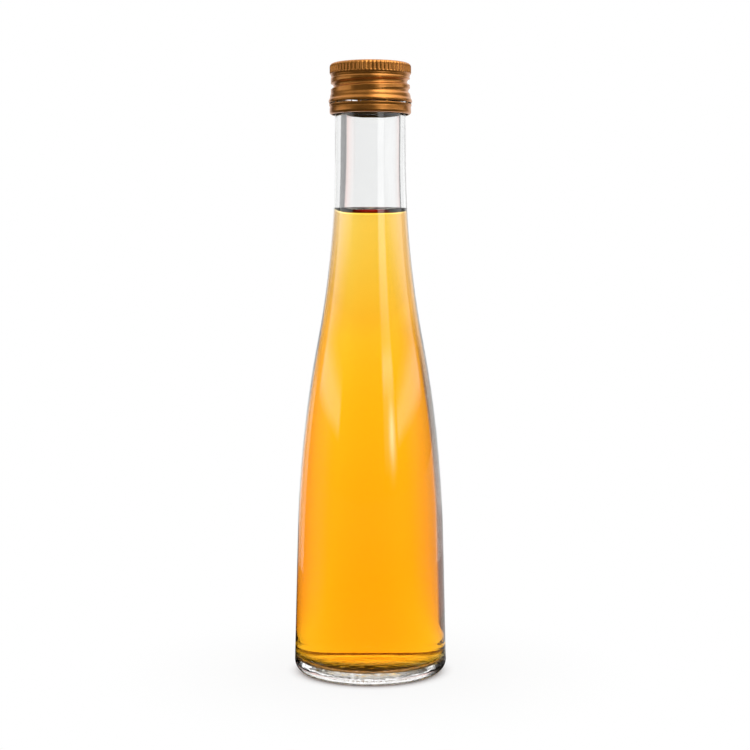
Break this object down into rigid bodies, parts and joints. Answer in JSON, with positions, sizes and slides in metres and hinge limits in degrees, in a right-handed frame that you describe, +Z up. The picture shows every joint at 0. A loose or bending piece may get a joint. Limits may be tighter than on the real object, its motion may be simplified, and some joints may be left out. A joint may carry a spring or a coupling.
{
  "type": "liqueur bottle",
  "caption": "Slim clear glass bottle of amber liqueur with a long curved shoulder, a narrow neck and a bronze rolled-on aluminium screw cap.",
  "frame": {"origin": "centre of the bearing ring, on the surface that the bottle stands on", "axes": "+Z up the bottle's axis to the cap, -Y towards the front, +X to the right seen from the front"},
  "size_m": [0.0532, 0.0532, 0.2117],
  "materials": {
    "flint_glass": "fire-polished clear glass",
    "amber_liqueur": "clear amber liquid",
    "bronze_aluminium": "satin bronze lacquer",
    "liner_foam": "plain"
  },
  "bodies": {
    "root": {"bottle_glass": "flint_glass", "liqueur": "amber_liqueur", "cap": "bronze_aluminium", "cap_liner": "liner_foam"}
  },
  "joints": []
}
